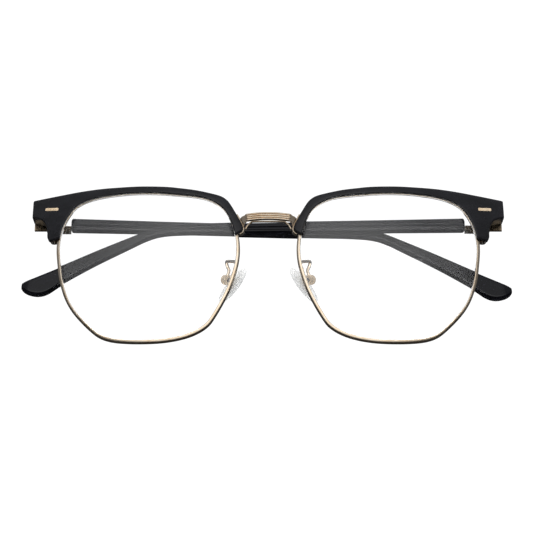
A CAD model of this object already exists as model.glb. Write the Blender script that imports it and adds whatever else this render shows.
from math import asin, cos, hypot, pi, radians, sin, sqrt, tan

import bmesh
import bpy
from mathutils import Matrix, Vector
from mathutils.geometry import delaunay_2d_cdt


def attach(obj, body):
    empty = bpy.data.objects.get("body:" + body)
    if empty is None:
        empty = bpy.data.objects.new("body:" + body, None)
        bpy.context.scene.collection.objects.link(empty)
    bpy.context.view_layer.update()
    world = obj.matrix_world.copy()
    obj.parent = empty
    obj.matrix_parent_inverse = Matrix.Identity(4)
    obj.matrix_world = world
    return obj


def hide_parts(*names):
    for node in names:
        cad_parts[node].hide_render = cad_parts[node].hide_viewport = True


# Browline spectacles, arms folded. Lengths in this file are millimetres in the frame of the
# CAD model, and mesh_piece() turns them into metres. Paired pieces are drawn for the wearer's
# left (+X) and mirrored for the right.

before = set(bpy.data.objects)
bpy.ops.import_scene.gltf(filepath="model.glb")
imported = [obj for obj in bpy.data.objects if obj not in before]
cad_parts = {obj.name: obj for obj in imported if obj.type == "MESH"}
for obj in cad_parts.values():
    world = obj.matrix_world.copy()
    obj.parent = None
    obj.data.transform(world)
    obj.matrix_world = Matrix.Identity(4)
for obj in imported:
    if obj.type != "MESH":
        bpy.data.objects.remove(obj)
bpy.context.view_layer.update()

MM = 0.001
LEFT = 1
RIGHT = -1
SIDES = {LEFT: "left", RIGHT: "right"}

# ---- dimensions shared with the CAD model ----

FRONT_Y = -10.95
EYE_U = 35.7
EYE_Z = 23.75
FACE_FORM = radians(4)
BASE_CURVE = 131
WIRE_T = 1
WIRE_FRONT = -0.25
WIRE_DEPTH = 2
LENS_T = 2
BEVEL_FRONT = 0.55
BEVEL_BACK = 1.35
GROOVE = 0.35
SEAT = 0.03
# what the smooth outlines are kept inside the CAD model's facets by
TRIM = 0.02
BROW_PROUD = 1.5
BROW_T = 3.8
HINGE = Vector((66.5, 15.2, 40.9))
DROOP = radians(8)
FOLD_SPREAD = radians(2)
ARM_SET = radians(0.6)
ARM_Y = 2.75
ARM_T = 3
PAD_PLACE = Vector((10.7, 9.1, 19.75))
PAD_LEAN = radians(34)
PAD_SPLAY = radians(35)
PAD_L = 13
PAD_W = 7
PAD_T = 1.8


# ---- curves ----

def catmull(a, b, c, d, t):
    """One point of a Catmull-Rom curve between b and c."""
    return tuple(
        0.5 * (2 * q + (r - p) * t + (2 * p - 5 * q + 4 * r - s) * t ** 2
               + (3 * q - p - 3 * r + s) * t ** 3)
        for p, q, r, s in zip(a, b, c, d))


def closed_curve(points, n):
    m = len(points)
    return [catmull(points[i - 1], points[i], points[(i + 1) % m], points[(i + 2) % m], k / n)
            for i in range(m) for k in range(n)]


def open_curve(points, n):
    last = len(points) - 1
    made = [catmull(points[max(i - 1, 0)], points[i], points[i + 1], points[min(i + 2, last)], k / n)
            for i in range(last) for k in range(n)]
    return made + [tuple(points[last])]


def lengths(points):
    """Running length of a polyline at each of its points."""
    run = [0]
    for a, b in zip(points, points[1:]):
        run.append(run[-1] + (Vector(b) - Vector(a)).length)
    return run


def resampled(points, count=None, step=None, closed=False):
    """The polyline with evenly spaced points."""
    points = [Vector(p) for p in points]
    if closed:
        points = points + [points[0]]
    run = lengths(points)
    if count is None:
        count = max(3, round(run[-1] / step))
    stops = count if closed else count - 1
    made = []
    i = 0
    for k in range(count):
        at = run[-1] * k / stops
        while i < len(run) - 2 and run[i + 1] < at:
            i += 1
        gap = run[i + 1] - run[i]
        made.append(points[i].lerp(points[i + 1], (at - run[i]) / gap if gap else 0))
    return made


def sideways(points, i, closed=False):
    """Unit direction to the right of travel at a point of a flat polyline."""
    m = len(points)
    a = points[i - 1] if closed or i else points[0]
    b = points[(i + 1) % m] if closed else points[min(i + 1, m - 1)]
    v = Vector((b[0] - a[0], b[1] - a[1]))
    return Vector((v.y, -v.x)).normalized()


def shifted(points, d, closed=False):
    return [Vector(p) + sideways(points, i, closed) * d for i, p in enumerate(points)]


def smooth(low, high, v):
    """0 below low, 1 above high, and a soft step between."""
    t = min(max((v - low) / (high - low), 0), 1)
    return t * t * (3 - 2 * t)


# ---- frames of reference ----

def from_eye(p):
    c, s = cos(FACE_FORM), sin(FACE_FORM)
    return (EYE_U + p[0] * c - p[1] * s, p[0] * s + p[1] * c, EYE_Z + p[2])


def behind(x, z, depth):
    """How far back the surface is that lies this deep behind the lens's front surface."""
    return BASE_CURVE - sqrt((BASE_CURVE - depth) ** 2 - x * x - z * z)


HINGE_FRAME = Matrix.Translation(HINGE) @ Matrix.Rotation(-DROOP, 4, "X")


def arm_frame(side):
    return (HINGE_FRAME @ Matrix.Rotation(side * FOLD_SPREAD, 4, "Z")
            @ Matrix.Rotation(-side * ARM_SET, 4, "Y"))


PAD_FRAME = (Matrix.Translation(PAD_PLACE) @ Matrix.Rotation(-PAD_LEAN, 4, "Y")
             @ Matrix.Rotation(-PAD_SPLAY, 4, "Z"))


def through(matrix):
    return lambda p: tuple(matrix @ Vector(p))


# ---- meshes ----

def mesh_piece(name, verts, faces, side=LEFT, move=None, sharp=40):
    """One piece from millimetre points: moved out of its own frame, mirrored, and smooth-shaded."""
    if move:
        verts = [move(v) for v in verts]
    mesh = bpy.data.meshes.new(name)
    mesh.from_pydata([(side * x * MM, (y + FRONT_Y) * MM, z * MM) for x, y, z in verts], [], faces)
    bm = bmesh.new()
    bm.from_mesh(mesh)
    bmesh.ops.remove_doubles(bm, verts=bm.verts, dist=0.002 * MM)
    bmesh.ops.recalc_face_normals(bm, faces=bm.faces)
    bm.to_mesh(mesh)
    bm.free()
    mesh.shade_smooth()
    mesh.set_sharp_from_angle(angle=radians(sharp))
    obj = bpy.data.objects.new(name, mesh)
    bpy.context.scene.collection.objects.link(obj)
    return obj


def loft(rings, closed=False):
    """Points and faces of a skin through equal rings, capped unless it closes on itself."""
    n = len(rings[0])
    verts = [p for ring in rings for p in ring]
    faces = []
    for a in range(len(rings) if closed else len(rings) - 1):
        b = (a + 1) % len(rings)
        for i in range(n):
            j = (i + 1) % n
            faces.append((a * n + i, a * n + j, b * n + j, b * n + i))
    if not closed:
        faces.append(tuple(range(n)))
        faces.append(tuple((len(rings) - 1) * n + i for i in range(n)))
    return verts, faces


def join(*parts):
    """Several (points, faces) as one."""
    verts = []
    faces = []
    for v, f in parts:
        faces += [tuple(i + len(verts) for i in face) for face in f]
        verts += list(v)
    return verts, faces


def rounded_rectangle(half_w, half_h, r, steps=4):
    """Closed loop round a rectangle about the origin, with round corners."""
    made = []
    for cx, cy, start in ((1, 1, 0), (-1, 1, 90), (-1, -1, 180), (1, -1, 270)):
        for k in range(steps + 1):
            a = radians(start + 90 * k / steps)
            made.append((cx * (half_w - r) + r * cos(a), cy * (half_h - r) + r * sin(a)))
    return made


# angles and flatness of the rounded end of a wire
END_TURNS = (10, 35, 60)
END_FLAT = 0.5


def tube(path, r, sides=20):
    """A round wire along a path, with its ends rounded over."""
    path = [Vector(p) for p in path]
    tangents = [(path[min(i + 1, len(path) - 1)] - path[max(i - 1, 0)]).normalized()
                for i in range(len(path))]
    normal = tangents[0].orthogonal().normalized()
    rings = []
    for i, (p, t) in enumerate(zip(path, tangents)):
        normal = (normal - t * normal.dot(t)).normalized()
        across = t.cross(normal)
        stops = [(0, 1)]
        if i == 0:
            stops = [(-cos(radians(a)), sin(radians(a))) for a in END_TURNS] + stops
        if i == len(path) - 1:
            stops = stops + [(cos(radians(a)), sin(radians(a))) for a in reversed(END_TURNS)]
        for along, wide in stops:
            rings.append([p + t * along * r * END_FLAT
                          + (normal * cos(a) + across * sin(a)) * r * wide
                          for a in (2 * pi * k / sides for k in range(sides))])
    return loft(rings)


def inside(x, y, outline):
    """True if the flat point is inside the closed outline."""
    hit = False
    for a, b in zip(outline, outline[1:] + outline[:1]):
        if (a[1] > y) != (b[1] > y) and x < a[0] + (y - a[1]) * (b[0] - a[0]) / (b[1] - a[1]):
            hit = not hit
    return hit


# smallest distance of an extra point from the loop
CLEAR_OF_LOOP = 0.12
# smallest distance of a grid point from the loop, in pitches
NEAR = 0.45
# spacing of the grid's columns, in pitches
COLUMN_PITCH = 0.87


def fill(loop, cell, extra=()):
    """Triangles over a closed flat loop, with inner points on a grid whose pitch is cell(x), and
    extra inner points where the surface has a step."""
    xs = [p[0] for p in loop]
    ys = [p[1] for p in loop]
    extra = [p for p in extra if inside(p[0], p[1], loop)
             and all(hypot(q[0] - p[0], q[1] - p[1]) > CLEAR_OF_LOOP for q in loop)]
    points = [Vector(p) for p in loop] + [Vector(p) for p in extra]
    x = min(xs)
    row = 0
    while x < max(xs):
        pitch = cell(x)
        y = min(ys) + (row % 2) * pitch / 2
        close = [p for p in list(loop) + extra if abs(p[0] - x) < pitch]
        while y < max(ys):
            if inside(x, y, loop) and all(hypot(p[0] - x, p[1] - y) > pitch * NEAR for p in close):
                points.append(Vector((x, y)))
            y += pitch
        x += pitch * COLUMN_PITCH
        row += 1
    edges = [(i, (i + 1) % len(loop)) for i in range(len(loop))]
    out = delaunay_2d_cdt(points, edges, [], 1, 1e-6)
    return [tuple(p) for p in out[0]], [tuple(f) for f in out[2]]


def slab(outline, front, back, r_front, r_back, cell, steps=5, steps_back=()):
    """A solid over a closed outline in X and Z, from front(x, z) to back(x, z), edges rounded."""
    turned = sum(a[0] * b[1] - a[1] * b[0] for a, b in zip(outline, outline[1:] + outline[:1]))
    if turned > 0:
        outline = outline[::-1]
    rings = []
    for surface, r, sign in ((front, r_front, 1), (back, r_back, -1)):
        layer = []
        for k in range(steps + 1):
            a = radians(90 * k / steps)
            loop = shifted(outline, r * (1 - sin(a)), closed=True)
            layer.append([(p[0], surface(p[0], p[1]) + sign * r * (1 - cos(a)), p[1]) for p in loop])
        rings.append(layer)
    walls = rings[0] + rings[1][::-1]
    verts, faces = loft(walls)
    faces = faces[:-2]
    for surface, r, extra in ((front, r_front, ()), (back, r_back, steps_back)):
        loop = [tuple(p) for p in shifted(outline, r, closed=True)]
        flat, tris = fill(loop, cell, extra)
        base = len(verts)
        verts = verts + [(x, surface(x, z), z) for x, z in flat]
        faces += [tuple(base + i for i in t) for t in tris]
    return verts, faces


def softened(node, width, segments=3, angle=35):
    """Rounds a CAD node's sharp edges a little for the look, with a modifier."""
    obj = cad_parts[node]
    bevel = obj.modifiers.new("soft edges", "BEVEL")
    bevel.width = width * MM
    bevel.segments = segments
    bevel.limit_method = "ANGLE"
    bevel.angle_limit = radians(angle)
    bevel.harden_normals = True
    return obj


def dress(obj, material):
    obj.data.materials.clear()
    obj.data.materials.append(material)
    return obj


def finished(obj, body, slot, material, *nodes):
    """Gives a piece its material, its body, its slot and the CAD nodes it stands for."""
    dress(obj, material)
    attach(obj, body)
    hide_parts(*nodes)
    return obj


# ---- materials ----

def new_material(name):
    material = bpy.data.materials.new(name)
    material.use_nodes = True
    nodes = material.node_tree.nodes
    return material, nodes, material.node_tree.links, nodes["Principled BSDF"]


def noise(nodes, links, scale, detail=4, stretch=(1, 1, 1)):
    """Noise in the object's own space; scale is in waves per metre."""
    coords = nodes.new("ShaderNodeTexCoord")
    mapping = nodes.new("ShaderNodeMapping")
    mapping.inputs["Scale"].default_value = stretch
    links.new(coords.outputs["Object"], mapping.inputs["Vector"])
    texture = nodes.new("ShaderNodeTexNoise")
    texture.inputs["Scale"].default_value = scale
    texture.inputs["Detail"].default_value = detail
    links.new(mapping.outputs["Vector"], texture.inputs["Vector"])
    return texture


def ramp(nodes, links, source, stops):
    """Turns a noise into a colour or grey between the stops: (position, colour or grey)."""
    made = nodes.new("ShaderNodeValToRGB")
    elements = made.color_ramp.elements
    while len(elements) < len(stops):
        elements.new(0.5)
    for element, (position, colour) in zip(elements, stops):
        element.position = position
        if not isinstance(colour, tuple):
            colour = (colour, colour, colour)
        element.color = (*colour, 1)
    links.new(source.outputs["Fac"], made.inputs["Fac"])
    return made


def bump(nodes, links, shader, source, strength, depth):
    made = nodes.new("ShaderNodeBump")
    made.inputs["Strength"].default_value = strength
    made.inputs["Distance"].default_value = depth * MM
    links.new(source.outputs["Fac"], made.inputs["Height"])
    links.new(made.outputs["Normal"], shader.inputs["Normal"])
    return made


def polished_acetate(name, dark, light, rough_low, rough_high, ior, coat):
    """Black cellulose acetate: a polished face with faint clouding and a fine tumbled ripple."""
    material, nodes, links, shader = new_material(name)
    cloud = noise(nodes, links, 160, 5, (1, 1, 2))
    tone = ramp(nodes, links, cloud, [(0.35, dark), (0.7, light)])
    links.new(tone.outputs["Color"], shader.inputs["Base Color"])
    haze = noise(nodes, links, 900, 6)
    rough = ramp(nodes, links, haze, [(0.3, rough_low), (0.75, rough_high)])
    links.new(rough.outputs["Color"], shader.inputs["Roughness"])
    shader.inputs["IOR"].default_value = ior
    shader.inputs["Coat Weight"].default_value = coat
    shader.inputs["Coat Roughness"].default_value = 0.06
    bump(nodes, links, shader, noise(nodes, links, 520, 3), 0.08, 0.05)
    return material


def plated_metal(name, pale, deep, rough_low, rough_high, stretch, metallic=1):
    """Electroplated metal: tone shifts softly, with fine drawn scratches along the wire."""
    material, nodes, links, shader = new_material(name)
    shift = noise(nodes, links, 300, 4)
    tone = ramp(nodes, links, shift, [(0.3, deep), (0.62, pale)])
    links.new(tone.outputs["Color"], shader.inputs["Base Color"])
    shader.inputs["Metallic"].default_value = metallic
    scratch = noise(nodes, links, 1500, 5, stretch)
    rough = ramp(nodes, links, scratch, [(0.3, rough_low), (0.7, rough_high)])
    links.new(rough.outputs["Color"], shader.inputs["Roughness"])
    bump(nodes, links, shader, scratch, 0.12, 0.02)
    return material


def lens_resin():
    """Clear lens resin, with the faint unevenness of its hard coat."""
    material, nodes, links, shader = new_material("lens_resin")
    coat = noise(nodes, links, 60, 2)
    tone = ramp(nodes, links, coat, [(0.3, (0.985, 0.99, 1.0)), (0.7, (1.0, 1.0, 1.0))])
    links.new(tone.outputs["Color"], shader.inputs["Base Color"])
    shader.inputs["Transmission Weight"].default_value = 1
    shader.inputs["IOR"].default_value = 1.5
    shader.inputs["Roughness"].default_value = 0
    return material


def clear_silicone():
    """Soft translucent silicone of the nose pads."""
    material, nodes, links, shader = new_material("pad_silicone")
    cloud = noise(nodes, links, 450, 5)
    tone = ramp(nodes, links, cloud, [(0.3, (0.86, 0.87, 0.86)), (0.7, (0.95, 0.95, 0.94))])
    links.new(tone.outputs["Color"], shader.inputs["Base Color"])
    shader.inputs["Transmission Weight"].default_value = 0.3
    shader.inputs["IOR"].default_value = 1.41
    shader.inputs["Alpha"].default_value = 0.8
    rough = ramp(nodes, links, noise(nodes, links, 1200, 4), [(0.3, 0.12), (0.7, 0.3)])
    links.new(rough.outputs["Color"], shader.inputs["Roughness"])
    bump(nodes, links, shader, noise(nodes, links, 1800, 3), 0.15, 0.03)
    return material


def insert_plastic():
    """Milky stiffening plate that is moulded into a nose pad."""
    material, nodes, links, shader = new_material("pad_insert")
    cloud = noise(nodes, links, 700, 4)
    tone = ramp(nodes, links, cloud, [(0.3, (0.80, 0.80, 0.78)), (0.7, (0.9, 0.9, 0.88))])
    links.new(tone.outputs["Color"], shader.inputs["Base Color"])
    shader.inputs["Roughness"].default_value = 0.45
    shader.inputs["Transmission Weight"].default_value = 0.3
    return material


def pale_floor():
    """Matt white studio floor that is solid from above and open from below."""
    material, nodes, links, shader = new_material("studio_floor")
    tone = ramp(nodes, links, noise(nodes, links, 3, 2), [(0.3, 0.80), (0.7, 0.83)])
    links.new(tone.outputs["Color"], shader.inputs["Base Color"])
    shader.inputs["Roughness"].default_value = 0.7
    clear = nodes.new("ShaderNodeBsdfTransparent")
    side = nodes.new("ShaderNodeNewGeometry")
    mix = nodes.new("ShaderNodeMixShader")
    links.new(side.outputs["Backfacing"], mix.inputs["Fac"])
    links.new(shader.outputs["BSDF"], mix.inputs[1])
    links.new(clear.outputs["BSDF"], mix.inputs[2])
    links.new(mix.outputs["Shader"], nodes["Material Output"].inputs["Surface"])
    return material


ACETATE = polished_acetate("brow_acetate", (0.005, 0.005, 0.006), (0.009, 0.009, 0.011), 0.26, 0.36,
                           1.42, 0.12)
ARM_ACETATE = polished_acetate("arm_acetate", (0.002, 0.002, 0.003), (0.004, 0.004, 0.006),
                               0.08, 0.14, 1.38, 0.05)
GOLD = plated_metal("champagne_gold", (0.93, 0.79, 0.62), (0.86, 0.68, 0.48), 0.14, 0.26, (1, 1, 0.1))
SATIN_GOLD = plated_metal("satin_gold", (0.90, 0.72, 0.50), (0.80, 0.60, 0.38), 0.2, 0.34,
                          (1, 1, 0.3), 0.5)
STEEL = plated_metal("screw_steel", (0.62, 0.58, 0.52), (0.45, 0.42, 0.38), 0.2, 0.34, (1, 1, 1))
HINGE_METAL = plated_metal("hinge_gold", (0.72, 0.58, 0.40), (0.55, 0.42, 0.27), 0.22, 0.36, (1, 0.1, 1))
CORE = plated_metal("core_wire", (0.60, 0.59, 0.57), (0.48, 0.47, 0.45), 0.25, 0.4, (0.1, 1, 1))
RESIN = lens_resin()
SILICONE = clear_silicone()
INSERT = insert_plastic()

# ---- the eye's outline, anticlockwise from the temple ----

EYE_POINTS = [
    (27.8, 8), (26.6, 13.9), (23.1, 19.4), (17.5, 22), (9, 23.1), (1, 23.25), (-8, 22.6),
    (-16.5, 21.4), (-21.8, 18.5), (-24.8, 13.9), (-26.4, 7.5), (-26.1, 0.5), (-23.6, -7.6),
    (-19.5, -15.4), (-16.4, -19.1), (-11, -21.7), (-3.5, -23.05), (6, -23.05), (12.8, -21.9),
    (17.4, -18.9), (23.2, -12.4), (26.1, -5.7), (27.4, 1.5)]
EYE_CURVE = closed_curve(EYE_POINTS, 12)


def ribbon(path, section, closed=False):
    """Sweeps a section of (outwards, depth behind the lens's front) along a path in the eye frame."""
    rings = []
    for i, p in enumerate(path):
        out = sideways(path, i, closed)
        ring = []
        for w, depth in section:
            x, z = p[0] + out.x * w, p[1] + out.y * w
            ring.append((x, behind(x, z, depth), z))
        rings.append(ring)
    return loft(rings, closed)


# ---- lenses ----

LENS_RINGS = 26
# rounding of the lens's two edges, and of the ridge that sits in the wire's groove
LENS_EDGE_R = 0.12
LENS_EDGE_MID = LENS_EDGE_R * 0.3
RIDGE_R = 0.08
RIDGE_DEPTHS = (0.85, 0.95, 1.05)


def lens(side):
    """Curved front and back as rings that grow from the middle, with a ridge round the edge."""
    face = resampled(EYE_CURVE, step=0.8, closed=True)
    edge = -WIRE_T / 2 - SEAT
    lip = -WIRE_T / 2 + GROOVE - SEAT
    ridge = zip((lip - RIDGE_R, lip, lip - RIDGE_R), RIDGE_DEPTHS)
    rim = [(edge - LENS_EDGE_R, 0), (edge - LENS_EDGE_MID, LENS_EDGE_MID), (edge, LENS_EDGE_R),
           (edge, BEVEL_FRONT), *ridge, (edge, BEVEL_BACK), (edge, LENS_T - LENS_EDGE_R),
           (edge - LENS_EDGE_MID, LENS_T - LENS_EDGE_MID), (edge - LENS_EDGE_R, LENS_T)]
    scales = [k / LENS_RINGS for k in range(1, LENS_RINGS)]
    inner = shifted(face, edge - LENS_EDGE_R, closed=True)
    rings = [[(p[0] * t, behind(p[0] * t, p[1] * t, 0), p[1] * t) for p in inner] for t in scales]
    for w, depth in rim:
        loop = shifted(face, w, closed=True)
        rings.append([(p[0], behind(p[0], p[1], depth), p[1]) for p in loop])
    rings += [[(p[0] * t, behind(p[0] * t, p[1] * t, LENS_T), p[1] * t) for p in inner]
              for t in reversed(scales)]
    verts, faces = loft(rings)
    name = SIDES[side]
    obj = mesh_piece(f"lens_{name}_visual", verts, faces, side, from_eye, sharp=20)
    return finished(obj, "front", "lens", RESIN, f"lens_{name}")


# ---- eyewires ----

LOCK_Z = 10.6
LOCK_GAP = 0.1
# the cut is on the temple side of this width
LOCK_SIDE = 20
WIRE_EDGE_R = 0.22
# clearance of the groove's edges in front and behind, and the slope of its sides
GROOVE_EDGE = 0.02
GROOVE_SLOPE = 0.12
# shallow line pressed into the outer face: its front, its back and its depth
LINE_FRONT = 0.35
LINE_BACK = 1.15
LINE_SLOPE = 0.13
LINE_DEPTH = 0.07


def quarter(steps=4):
    """Angles of a quarter turn."""
    return [radians(90 * k / steps) for k in range(steps + 1)]


def eyewire(side):
    """A grooved wire with round edges, swept round the eye from one side of the cut to the other."""
    half = WIRE_T / 2 - TRIM
    back = WIRE_FRONT + WIRE_DEPTH
    r = WIRE_EDGE_R
    section = [(half - r + r * cos(a), WIRE_FRONT + r - r * sin(a)) for a in quarter()]
    section += [(-half + r - r * sin(a), WIRE_FRONT + r - r * cos(a)) for a in quarter()]
    section += [(-half, BEVEL_FRONT - GROOVE_EDGE), (-half + GROOVE, BEVEL_FRONT + GROOVE_SLOPE),
                (-half + GROOVE, BEVEL_BACK - GROOVE_SLOPE), (-half, BEVEL_BACK + GROOVE_EDGE)]
    section += [(-half + r - r * cos(a), back - r + r * sin(a)) for a in quarter()]
    section += [(half - r + r * sin(a), back - r + r * cos(a)) for a in quarter()]
    section += [(half, LINE_BACK), (half - LINE_DEPTH, LINE_BACK - LINE_SLOPE),
                (half - LINE_DEPTH, LINE_FRONT + LINE_SLOPE), (half, LINE_FRONT)]
    path = resampled(EYE_CURVE, step=0.45, closed=True)
    above = [i for i, p in enumerate(path) if p[0] > LOCK_SIDE and p[1] > LOCK_Z + LOCK_GAP]
    start = min(above, key=lambda i: path[i][1])
    path = path[start:] + path[:start]
    path = [p for p in path if not (p[0] > LOCK_SIDE and abs(p[1] - LOCK_Z) < LOCK_GAP / 2)]
    verts, faces = ribbon(path, section)
    name = SIDES[side]
    obj = mesh_piece(f"eyewire_{name}_visual", verts, faces, side, from_eye, sharp=50)
    return finished(obj, "front", "gold", GOLD, f"eyewire_{name}")


# ---- brows ----

TAIL_POINTS = [(-26, 16), (-27.2, 13.7), (-27.9, 11.9), (-27.9, 10.9), (-27.4, 10.25), (-26.9, 10)]
TOP_POINTS = [(-26, 16), (-24.2, 19.1), (-23, 20.6), (-21.2, 21.75), (-18, 22.65), (-13.5, 23.6),
              (-9, 24.2), (-4.5, 24.7), (3, 24.98), (9.3, 24.89), (15.4, 24.7), (21.6, 24.2),
              (27.9, 23.5), (36.15, 22.66)]
END_POINTS = [(36.3, 22.4), (36.32, 20), (36.32, 17.2), (36.15, 16.78)]
LEG_POINTS = [(35.6, 16.72), (34.6, 16.5), (32.8, 15.4), (31.7, 13.6), (31.3, 12), (31.2, 10),
              (30.6, 8.6)]
TAIL_CURVE = open_curve(TAIL_POINTS, 8)
LEG_T = 1.35
REAR_FACE = -1.9
# soft steps in the brow's back: (where it starts, where it ends)
LEG_SIDE = (25.8, 26.2)
LEG_TOP = (13.8, 14.3)
END_SIDE = (29.2, 29.8)
END_RISE = (-0.55, -0.15)
WIRE_STEP = 0.08
# underside of the end piece: its height at a width, and its slope
END_FLOOR = 15.7
END_FLOOR_X = 29.5
END_FLOOR_SLOPE = 0.16
# the part of the brow whose depth turns square to the object
TURN_SIDE = (30, 36)
BROW_FRONT_R = 0.42
BROW_BACK_R = 0.2
# pitch of the grid in the end piece, in the rest, and the width at which it changes
FINE_CELL = 0.35
COARSE_CELL = 0.8
FINE_FROM = 28.4


def brow_front(x, z):
    return behind(x, z, -BROW_PROUD)


EYE_SEGMENTS = [(Vector(a), Vector(b) - Vector(a))
                for a, b in zip(EYE_CURVE, EYE_CURVE[1:] + EYE_CURVE[:1])]


def outside_eye(x, z):
    """Distance of a point outside the middle of the eyewire; negative inside it."""
    p = Vector((x, z))
    nearest = 1e9
    signed = 0
    for a, run in EYE_SEGMENTS:
        off = p - a
        t = min(max(off.dot(run) / run.length_squared, 0), 1)
        gap = (off - run * t).length
        if gap < nearest:
            nearest = gap
            # the outline runs anticlockwise, so its right-hand side is outside
            signed = gap if run.y * off.x - run.x * off.y > 0 else -gap
    return signed


def brow_back(x, z):
    """Back of the brow: a plain bar with a rebate for the eyewire, thin behind the leg, and
    deep at the end piece."""
    depth = BROW_T - BROW_PROUD
    thin = smooth(*LEG_SIDE, x) * (1 - smooth(*LEG_TOP, z))
    depth += (LEG_T - BROW_T) * thin
    seated = 1 - smooth(WIRE_T / 2, WIRE_T / 2 + WIRE_STEP, outside_eye(x, z))
    depth += (WIRE_FRONT - SEAT - depth) * seated
    plain = behind(x, z, depth)
    floor = END_FLOOR + (x - END_FLOOR_X) * END_FLOOR_SLOPE
    deep = smooth(*END_SIDE, x) * smooth(floor + END_RISE[0], floor + END_RISE[1], z)
    rear = (HINGE.y + (REAR_FACE + (z + EYE_Z - HINGE.z) * sin(DROOP)) / cos(DROOP))
    # the rear face is square to the object, so it is turned back by the eye's own turn
    rear = (rear - x * sin(FACE_FORM)) / cos(FACE_FORM)
    return plain + (rear - plain) * deep


def brow_move(p):
    """Out of the eye frame, with the end piece's side running straight back."""
    x, y, z = p
    lean = smooth(*TURN_SIDE, x) * tan(FACE_FORM) * max(y - behind(x, z, -BROW_PROUD), 0)
    return from_eye((x + lean, y, z))


BROW_LOW = 9


def brow(side):
    """Inner edge over the eyewire from temple to nose, then up the tail, along the top and down."""
    rim = shifted(EYE_CURVE, -WIRE_T / 2, closed=True)
    low = next(i for i in range(len(rim)) if rim[i].x > 0 and rim[i].y > BROW_LOW)
    rim = [p for p in rim[low:] + rim[:low] if p.y > BROW_LOW]
    rim = resampled(rim, step=0.4)
    outer = (list(reversed(TAIL_CURVE)) + open_curve(TOP_POINTS, 8)[1:] + open_curve(END_POINTS, 4)
             + open_curve(LEG_POINTS, 8))
    outer = resampled(outer, step=0.4)
    outline = [tuple(p) for p in rim + outer]
    steps = [tuple(p) for w in (WIRE_T / 2, WIRE_T / 2 + WIRE_STEP + 0.01)
             for p in resampled(shifted(EYE_CURVE, w, closed=True), step=0.35, closed=True)
             if p.y > BROW_LOW]
    verts, faces = slab(outline, brow_front, brow_back, BROW_FRONT_R, BROW_BACK_R,
                        lambda x: FINE_CELL if x > FINE_FROM else COARSE_CELL, steps_back=steps)
    name = SIDES[side]
    obj = mesh_piece(f"brow_{name}_visual", verts, faces, side, brow_move, sharp=55)
    return finished(obj, "front", "brow_plastic", ACETATE, f"brow_{name}")


DASH_U = 30.15
DASH_Z = 19
DASH_TILT = radians(-4.5)
DASH_L = 4.2
DASH_H = 0.95
DASH_CORNER = 0.3
DASH_PROUD = 0.05
DASH_SUNK = 0.5


def brow_dash(side):
    loop = rounded_rectangle(DASH_L / 2, DASH_H / 2, DASH_CORNER, 6)
    c, s = cos(DASH_TILT), sin(DASH_TILT)
    outline = [(DASH_U + x * c + z * s, DASH_Z - x * s + z * c) for x, z in loop]
    verts, faces = slab(outline, lambda x, z: behind(x, z, -BROW_PROUD - DASH_PROUD),
                        lambda x, z: behind(x, z, -BROW_PROUD + DASH_SUNK), 0.09, 0.05, lambda x: 0.4)
    name = SIDES[side]
    obj = mesh_piece(f"brow_dash_{name}_visual", verts, faces, side, from_eye)
    return finished(obj, "front", "gold", SATIN_GOLD, f"brow_dash_{name}")


CLIP_T = 0.4
CLIP_FRONT = -0.4
CLIP_BACK = 1.6
CLIP_CORNER = 0.12


def brow_clip(side):
    """Strip that follows the brow's nose end."""
    loop = rounded_rectangle((CLIP_T - SEAT) / 2, (CLIP_BACK - CLIP_FRONT) / 2, CLIP_CORNER)
    section = [((CLIP_T + SEAT) / 2 + w, (CLIP_FRONT + CLIP_BACK) / 2 + d) for w, d in loop]
    verts, faces = ribbon(resampled(TAIL_CURVE, step=0.3), section)
    name = SIDES[side]
    obj = mesh_piece(f"brow_clip_{name}_visual", verts, faces, side, from_eye)
    return finished(obj, "front", "gold", GOLD, f"brow_clip_{name}")


# ---- bridge ----

ARCH_R = 41
BRIDGE_TOP = 39.85
BRIDGE_Y = 0.3
BAR_H = 2.3
BAR_HALF_L = 7
BEADS = 4
BAR_CORNER = 0.2
# how much the bar's ends draw in, and the part of its half-length where that starts
BAR_SQUEEZE = 0.12
SQUEEZE_FROM = 0.93
BAR_STOPS = 60
LUG_OUTLINE = [(6.5, 37.1), (6.9, 36.9), (7.25, 35.9), (7.75, 36.8), (8.5, 38.3), (8, 38.8),
               (6.9, 39.1), (6.5, 39.1)]
LUG_DEPTH = 1.6
# the lug's front turns back from here, by this much for each millimetre outwards
LUG_START = 6.7
LUG_TURN = 0.7
LUG_EDGE_R = 0.15


def lug_front(x, z):
    """Front of a lug, which turns back towards the clip."""
    return BRIDGE_Y - LUG_DEPTH / 2 + LUG_TURN * max(abs(x) - LUG_START, 0)


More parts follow.
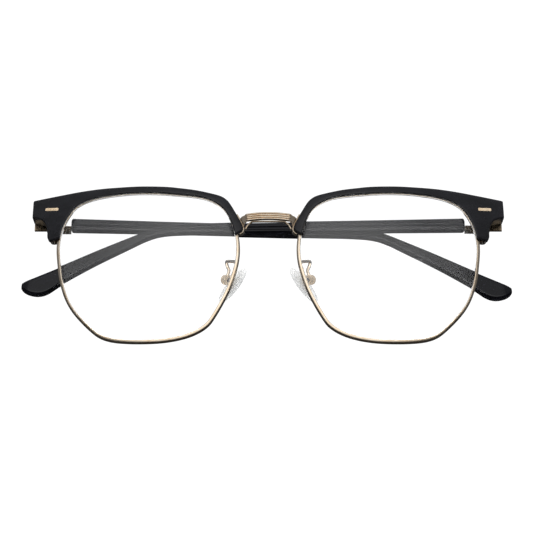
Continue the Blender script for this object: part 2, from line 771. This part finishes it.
def bridge_bar():
    """Arched bar with four half-round beads on its front, and a lug at each end."""
    bead_r = BAR_H / BEADS / 2
    section = []
    for b in range(BEADS):
        centre = bead_r * (2 * b + 1)
        for k in range(9):
            a = radians(180 * k / 8)
            section.append((-centre + bead_r * cos(a), -1 - (bead_r - TRIM) * sin(a)))
    for cx, start in ((-BAR_H + BAR_CORNER, 180), (-BAR_CORNER, 90)):
        for k in range(4):
            a = radians(start - 90 * k / 3)
            section.append((cx + BAR_CORNER * cos(a), -BAR_CORNER + BAR_CORNER * sin(a)))
    half_angle = asin(BAR_HALF_L / ARCH_R)
    rings = []
    for i in range(BAR_STOPS + 1):
        t = 2 * i / BAR_STOPS - 1
        a = t * half_angle
        squeeze = 1 - BAR_SQUEEZE * smooth(SQUEEZE_FROM, 1, abs(t))
        ring = []
        for r, y in section:
            reach = ARCH_R - BAR_H / 2 + (r + BAR_H / 2) * squeeze
            ring.append((reach * sin(a), BRIDGE_Y + y * squeeze,
                         BRIDGE_TOP - ARCH_R + reach * cos(a)))
        rings.append(ring)
    parts = [loft(rings)]
    for side in (RIGHT, LEFT):
        outline = resampled([(side * x, z) for x, z in LUG_OUTLINE], step=0.25, closed=True)
        parts.append(slab([tuple(p) for p in outline], lug_front,
                          lambda x, z: BRIDGE_Y + LUG_DEPTH / 2, LUG_EDGE_R, LUG_EDGE_R,
                          lambda x: 0.5))
    verts, faces = join(*parts)
    obj = mesh_piece("bridge_bar_visual", verts, faces)
    return finished(obj, "front", "gold", GOLD, "bridge_bar")


BRACE_POINTS = [(6.8, 35.2), (6.2, 36.3), (5.2, 37.25), (4, 37.55)]
BRACE_Y = 1.55
BRACE_D = 0.6


def bridge_brace():
    points = [(-x, BRACE_Y, z) for x, z in BRACE_POINTS]
    points += [(x, BRACE_Y, z) for x, z in reversed(BRACE_POINTS)]
    verts, faces = tube(resampled(open_curve(points, 10), step=0.2), BRACE_D / 2)
    obj = mesh_piece("bridge_brace_visual", verts, faces)
    return finished(obj, "front", "gold", GOLD, "bridge_brace")


# ---- nose pads ----

PAD_ARM_POINTS = [(9.6, 3.4, 25.3), (11.3, 6, 26.2), (12.6, 7.6, 26.6), (12.4, 8.3, 25.4),
                  (11.9, 8, 23.9), (12.3, 7.7, 22.3)]
PAD_WIRE_D = 1
PAD_POINTS = [(0, 1), (0.72, 0.72), (1, 0.1), (0.85, -0.6), (0.4, -0.95), (-0.25, -0.95),
              (-0.75, -0.55), (-0.95, 0.1), (-0.65, 0.75)]


def pad_arm(side):
    path = resampled(open_curve(PAD_ARM_POINTS, 12), step=0.2)
    verts, faces = tube(path, PAD_WIRE_D / 2)
    name = SIDES[side]
    obj = mesh_piece(f"pad_arm_{name}_visual", verts, faces, side)
    return finished(obj, "front", "gold", GOLD, f"pad_arm_{name}")


PAD_RINGS = 28
# roundness of the cushion's edge, and how much flatter its back is
PAD_ROUND = 0.45
PAD_BACK = 0.94


def nose_pad(side):
    """Teardrop cushion, fuller on the side that rests on the nose."""
    loop = closed_curve([(x * PAD_W / 2, z * PAD_L / 2) for x, z in PAD_POINTS], 8)
    rings = []
    for k in range(1, PAD_RINGS):
        a = pi * k / PAD_RINGS
        scale = sin(a) ** PAD_ROUND
        x = -cos(a) * PAD_T / 2
        x = x if x < 0 else x * PAD_BACK
        rings.append([(x, p[0] * scale, p[1] * scale) for p in loop])
    verts, faces = loft(rings)
    name = SIDES[side]
    obj = mesh_piece(f"nose_pad_{name}_visual", verts, faces, side, through(PAD_FRAME), sharp=80)
    return finished(obj, f"{name}_pad", "pad_silicone", SILICONE, f"nose_pad_{name}")


# ---- arms ----

ARM_START = 6.1
ARM_TOP = [(ARM_START, 2.9), (39, 2), (79, 1), (94, 0.3), (99, -0.5), (103.5, -2), (109, -4.4),
           (118, -8.5), (129, -13.8), (137, -17.5), (140.7, -19.2), (141.5, -20.1)]
ARM_UNDER = [(ARM_START, -1.2), (34, -1.6), (75, -2.4), (92, -2.7), (99, -3.3), (103.5, -4.8),
             (108, -7.2), (119, -13.3), (129, -19.5), (133, -22.4), (135.8, -23.3), (138.6, -22.9),
             (140.7, -21.7), (141.5, -20.1)]
ARM_CORNER = 0.85
# rounding of the edges at the hinge end
ARM_END_R = 0.75
FLUTE_DEPTH = 0.22
# heights of the two flutes, from 1 at the arm's top edge to -1 at its lower edge
FLUTES = (0.06, -0.52)
FLUTE_HALF = 0.13
# where the flutes begin and fade, as parts of the arm's length: (start, end)
FLUTES_IN = (0, 0.03)
FLUTES_OUT = (0.6, 0.72)
TIP_FROM = 0.972
THINNEST = 0.15
ARM_STATIONS = 150


def arm_section(half_h, half_t, flute):
    """Loop of (height, thickness): round corners, and two flutes on the inner face."""
    r = min(ARM_CORNER, half_h * 0.9, half_t * 0.9)
    made = []
    flat = half_h - r
    for k in range(40):
        v = flat * (1 - 2 * k / 40)
        u = v / max(half_h, 0.01)
        dip = sum(max(0, 1 - abs(u - c) / FLUTE_HALF) for c in FLUTES)
        made.append((v, -half_t + flute * FLUTE_DEPTH * dip))
    for cx, cy, start in ((-1, -1, 0), (-1, 1, 1), (1, 1, 2), (1, -1, 3)):
        for k in range(7):
            a = radians(270 - 90 * start - 90 * k / 6)
            made.append((cx * flat + r * cos(a), cy * (half_t - r) + r * sin(a)))
    return made[:-1]


def arm(side):
    """Sections square to the line midway between the arm's two edges."""
    top = resampled(open_curve(ARM_TOP, 12), count=ARM_STATIONS + 1)
    under = resampled(open_curve(ARM_UNDER, 12), count=ARM_STATIONS + 1)
    rings = []
    for i in range(ARM_STATIONS):
        f = i / ARM_STATIONS
        t, b = top[i], under[i]
        centre = (t + b) / 2
        half = (t - b) / 2
        half_h = max(half.length, THINNEST)
        up = half.normalized()
        round_tip = sqrt(max(1 - smooth_tip(f) ** 2, 0.02))
        half_t = ARM_T / 2 * round_tip
        flute = smooth(*FLUTES_IN, f) * (1 - smooth(*FLUTES_OUT, f))
        turns = (0, 22.5, 45, 67.5, 90) if i == 0 else (90,)
        for turn in turns:
            tuck = ARM_END_R * (1 - sin(radians(turn)))
            along = ARM_END_R * (1 - cos(radians(turn))) if i == 0 else 0
            shape = arm_section(half_h - tuck, half_t - tuck, flute)
            rings.append([(-(centre.x + up.x * h) - along, ARM_Y + w, centre.y + up.y * h)
                          for h, w in shape])
    verts, faces = loft(rings)
    name = SIDES[side]
    obj = mesh_piece(f"arm_{name}_visual", verts, faces, side, through(arm_frame(side)), sharp=60)
    return finished(obj, f"{name}_arm", "arm_plastic", ARM_ACETATE, f"arm_{name}")


def smooth_tip(f):
    """0 along the arm, rising to 1 at its very tip."""
    return max(f - TIP_FROM, 0) / (1 - TIP_FROM)


# ---- make everything ----

for side in (RIGHT, LEFT):
    lens(side)
    eyewire(side)
    brow(side)
    brow_dash(side)
    brow_clip(side)
    pad_arm(side)
    nose_pad(side)
    arm(side)
bridge_bar()
bridge_brace()

# CAD nodes that are shown as they are, with their edges softened by this many millimetres
for name in SIDES.values():
    dress(softened(f"rim_lock_{name}", 0.12), GOLD)
    dress(softened(f"front_hinge_{name}", 0.12), HINGE_METAL)
    dress(softened(f"arm_hinge_{name}", 0.15), HINGE_METAL)
    dress(softened(f"hinge_screw_{name}", 0.06), STEEL)
    dress(softened(f"pad_box_{name}", 0.08), SATIN_GOLD)
    dress(softened(f"pad_core_{name}", 0.1), INSERT)
    dress(softened(f"arm_core_{name}", 0.05), CORE)
dress(softened("rim_screws", 0.05), STEEL)
dress(softened("brow_screws", 0.05), STEEL)
dress(softened("pad_screws", 0.04), STEEL)

# ---- studio ----

# a lens lets through 92 per cent, so a white of 1.09 still shows white behind it
WHITE = 1.09
ROOM_LOW = (0.03, 0.03, 0.03)
ROOM_HIGH = (0.42, 0.43, 0.46)
LAMP_FROM = (0, -1, 0.2)
LAMP_EDGE = radians(30)
LAMP_STRENGTH = 1.25
# height of the room's brightest part, from 0 at eye level to 1 straight up
ROOM_TOP = 0.8
FLOOR_SIZE = 6


def studio():
    """White for the eye and the lenses, and a dim room with a front lamp for what is polished."""
    bpy.ops.mesh.primitive_plane_add(size=FLOOR_SIZE, location=(0, 0, 0))
    floor = bpy.context.object
    floor.name = "studio_floor"
    floor.visible_glossy = False
    dress(floor, pale_floor())

    world = bpy.data.worlds.new("studio")
    bpy.context.scene.world = world
    world.use_nodes = True
    nodes = world.node_tree.nodes
    links = world.node_tree.links
    # white behind the object, as the eye and the lenses see it
    seen = nodes["Background"]
    seen.inputs["Color"].default_value = (1, 1, 1, 1)
    seen.inputs["Strength"].default_value = WHITE
    # the room that lights it: dark below, grey round about, brighter above
    coords = nodes.new("ShaderNodeTexCoord")
    split = nodes.new("ShaderNodeSeparateXYZ")
    links.new(coords.outputs["Generated"], split.inputs["Vector"])
    room = nodes.new("ShaderNodeValToRGB")
    elements = room.color_ramp.elements
    elements[0].position = 0.0
    elements[0].color = (*ROOM_LOW, 1)
    elements[1].position = ROOM_TOP
    elements[1].color = (*ROOM_HIGH, 1)
    links.new(split.outputs["Z"], room.inputs["Fac"])
    # a soft lamp in front, a little above the lenses
    spot = nodes.new("ShaderNodeVectorMath")
    spot.operation = "DOT_PRODUCT"
    links.new(coords.outputs["Generated"], spot.inputs[0])
    spot.inputs[1].default_value = Vector(LAMP_FROM).normalized()
    glow = nodes.new("ShaderNodeValToRGB")
    stops = glow.color_ramp.elements
    stops[0].position = cos(LAMP_EDGE)
    stops[0].color = (0, 0, 0, 1)
    stops[1].position = 1
    stops[1].color = (1, 1, 1, 1)
    glow.color_ramp.interpolation = "EASE"
    links.new(spot.outputs["Value"], glow.inputs["Fac"])
    room_light = nodes.new("ShaderNodeBackground")
    room_light.inputs["Strength"].default_value = 1
    links.new(room.outputs["Color"], room_light.inputs["Color"])
    lamp_light = nodes.new("ShaderNodeBackground")
    lamp_light.inputs["Strength"].default_value = LAMP_STRENGTH
    links.new(glow.outputs["Color"], lamp_light.inputs["Color"])
    lit = nodes.new("ShaderNodeAddShader")
    links.new(room_light.outputs["Background"], lit.inputs[0])
    links.new(lamp_light.outputs["Background"], lit.inputs[1])
    path = nodes.new("ShaderNodeLightPath")
    direct = nodes.new("ShaderNodeMath")
    direct.operation = "MAXIMUM"
    links.new(path.outputs["Is Camera Ray"], direct.inputs[0])
    links.new(path.outputs["Is Transmission Ray"], direct.inputs[1])
    mix = nodes.new("ShaderNodeMixShader")
    links.new(direct.outputs["Value"], mix.inputs["Fac"])
    links.new(lit.outputs["Shader"], mix.inputs[1])
    links.new(seen.outputs["Background"], mix.inputs[2])
    links.new(mix.outputs["Shader"], nodes["World Output"].inputs["Surface"])


def softbox(name, place, aim, size, power):
    """A lamp for the matt surfaces, which the polished ones don't mirror."""
    data = bpy.data.lights.new(name, "AREA")
    data.shape = "RECTANGLE"
    data.size, data.size_y = size
    data.energy = power
    obj = bpy.data.objects.new(name, data)
    obj.location = place
    obj.rotation_euler = (Vector(aim) - Vector(place)).to_track_quat("-Z", "Y").to_euler()
    obj.visible_glossy = False
    bpy.context.scene.collection.objects.link(obj)


CAMERA_PLACE = (-0.00054, -0.58273, -0.15180)
# 17 degrees up from level
CAMERA_PITCH = radians(90 + 17)
SENSOR = 36
FOCAL_LENGTH = 135.8


def camera():
    data = bpy.data.cameras.new("camera")
    data.sensor_width = SENSOR
    data.lens = FOCAL_LENGTH
    data.clip_start = 0.01
    data.clip_end = 20
    obj = bpy.data.objects.new("camera", data)
    obj.location = CAMERA_PLACE
    obj.rotation_euler = (CAMERA_PITCH, 0, 0)
    bpy.context.scene.collection.objects.link(obj)
    bpy.context.scene.camera = obj


studio()
softbox("top_softbox", (0, -0.1, 1.2), (0, 0, 0.02), (1.2, 1.0), 26)
softbox("front_softbox", (0, -0.9, 0.15), (0, 0, 0.02), (0.8, 0.4), 1.5)
camera()
bpy.context.scene.view_settings.view_transform = "Standard"
